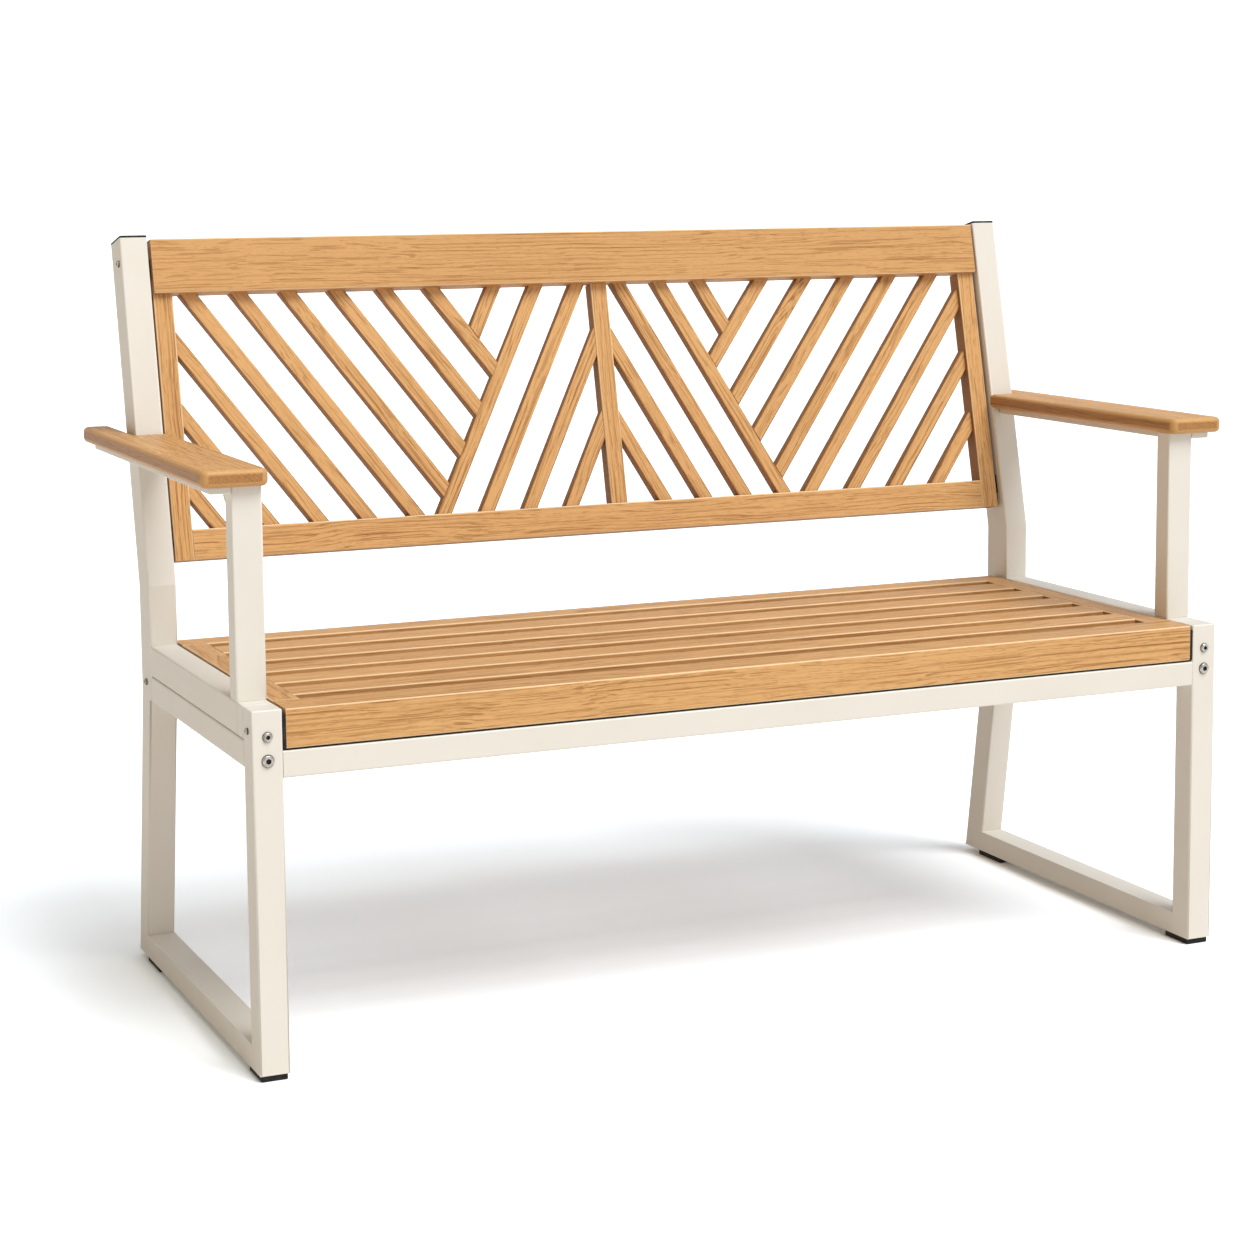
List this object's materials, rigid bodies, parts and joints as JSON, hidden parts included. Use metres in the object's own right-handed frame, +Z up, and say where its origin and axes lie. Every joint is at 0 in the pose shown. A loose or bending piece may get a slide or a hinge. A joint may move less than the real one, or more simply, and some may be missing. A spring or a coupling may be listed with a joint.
{
  "type": "garden bench",
  "caption": "Two-seat garden bench with square-tube steel side frames, a slatted wooden seat, flat wooden armrests and a leaning back filled with diagonal lattice slats.",
  "frame": {"origin": "on the floor, at the centre of the bench's bounding box seen from above", "axes": "+X across the bench to the sitter's left, +Y toward the back of the bench, +Z up"},
  "size_m": [1.354, 0.631, 0.9302],
  "materials": {
    "frame_paint": "satin powder coat, warm off-white",
    "oak": "oiled, fine straight grain",
    "foot_rubber": "matt black",
    "cap_plastic": "matt black",
    "bolt_steel": "zinc plated"
  },
  "bodies": {
    "root": {"front_leg_left": "frame_paint", "front_leg_right": "frame_paint", "rear_leg_left": "frame_paint", "rear_leg_right": "frame_paint", "upright_left": "frame_paint", "upright_right": "frame_paint", "floor_runner_left": "frame_paint", "floor_runner_right": "frame_paint", "side_rails_left": "frame_paint", "side_rails_right": "frame_paint", "arm_post_left": "frame_paint", "arm_post_right": "frame_paint", "arm_support_left": "frame_paint", "arm_support_right": "frame_paint", "armrest_left": "oak", "armrest_right": "oak", "front_apron": "frame_paint", "rear_apron": "frame_paint", "seat_front_rail": "oak", "seat_rear_rail": "oak", "seat_end_rail_left": "oak", "seat_end_rail_right": "oak", "seat_slat_1": "oak", "seat_slat_2": "oak", "seat_slat_3": "oak", "seat_slat_4": "oak", "seat_slat_5": "oak", "seat_bearers": "oak", "back_top_rail": "oak", "back_bottom_rail": "oak", "back_stile_left": "oak", "back_stile_right": "oak", "back_centre_stile": "oak", "lattice_left_1": "oak", "lattice_left_2": "oak", "lattice_left_3": "oak", "lattice_left_4": "oak", "lattice_left_5": "oak", "lattice_left_6": "oak", "lattice_left_7": "oak", "lattice_left_8": "oak", "lattice_left_9": "oak", "lattice_right_1": "oak", "lattice_right_2": "oak", "lattice_right_3": "oak", "lattice_right_4": "oak", "lattice_right_5": "oak", "lattice_right_6": "oak", "lattice_right_7": "oak", "lattice_right_8": "oak", "lattice_inner_1": "oak", "lattice_inner_2": "oak", "lattice_inner_3": "oak", "lattice_inner_4": "oak", "lattice_inner_5": "oak", "feet": "foot_rubber", "upright_caps": "cap_plastic", "frame_bolts": "bolt_steel", "side_screws": "bolt_steel", "spacer_pads": "foot_rubber"}
  },
  "joints": []
}
